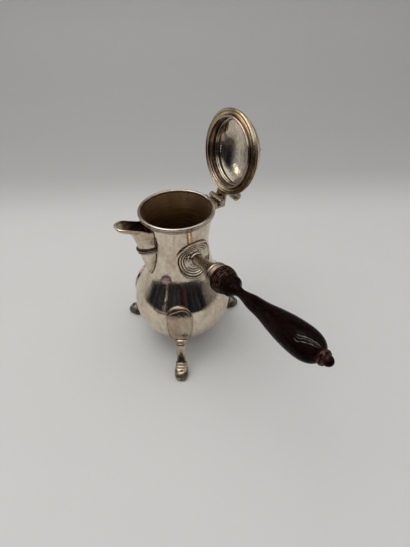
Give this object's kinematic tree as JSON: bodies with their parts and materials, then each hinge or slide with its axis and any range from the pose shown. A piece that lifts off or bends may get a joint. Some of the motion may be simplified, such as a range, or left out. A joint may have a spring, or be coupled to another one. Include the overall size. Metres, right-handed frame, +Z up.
{
  "type": "chocolate pot",
  "caption": "Pear-shaped silver-plated chocolate pot on hoofed legs, with a hinged domed lid, a covered beak spout and a turned dark wood handle at the side.",
  "frame": {"origin": "on the pot's own axis, in the plane of the three soles", "axes": "+Z up along the pot's axis; spout towards -X, lid hinge towards +X, wood handle towards -Y"},
  "size_m": [0.137, 0.2336, 0.2106],
  "materials": {
    "silver_body": "polished silver plate, lightly tarnished",
    "silver_trim": "polished silver plate with tarnish in the hollows",
    "silver_lid": "silver plate with golden-brown tarnish",
    "steel_fixings": "plated steel",
    "dark_wood": "turned and varnished dark wood"
  },
  "bodies": {
    "pot": {"body_shell": "silver_body", "rim_moulding": "silver_trim", "spout_beak": "silver_body", "spout_drop": "silver_body", "spout_band": "silver_trim", "handle_rosette": "silver_trim", "handle_socket": "silver_trim", "socket_ferrule": "silver_trim", "wood_handle": "dark_wood", "handle_screw": "steel_fixings", "hinge_bracket": "silver_trim", "hinge_pin": "steel_fixings", "foot_plate_1": "silver_trim", "foot_plate_2": "silver_trim", "foot_plate_3": "silver_trim", "foot_casting_1": "silver_trim", "foot_casting_2": "silver_trim", "foot_casting_3": "silver_trim"},
    "lid": {"hinge_lid_leaf": "silver_trim", "lid_rim": "silver_lid", "lid_bezel": "silver_lid", "lid_dome": "silver_lid", "finial_plate": "silver_lid", "lid_finial": "silver_lid", "thumbpiece": "silver_trim"}
  },
  "joints": [
    {"name": "lid_hinge", "type": "hinge", "parent": "pot", "child": "lid", "pos_m": [0.039, 0, 0.1398], "axis": [0, 1, 0], "range_deg": [-100, 0]}
  ]
}
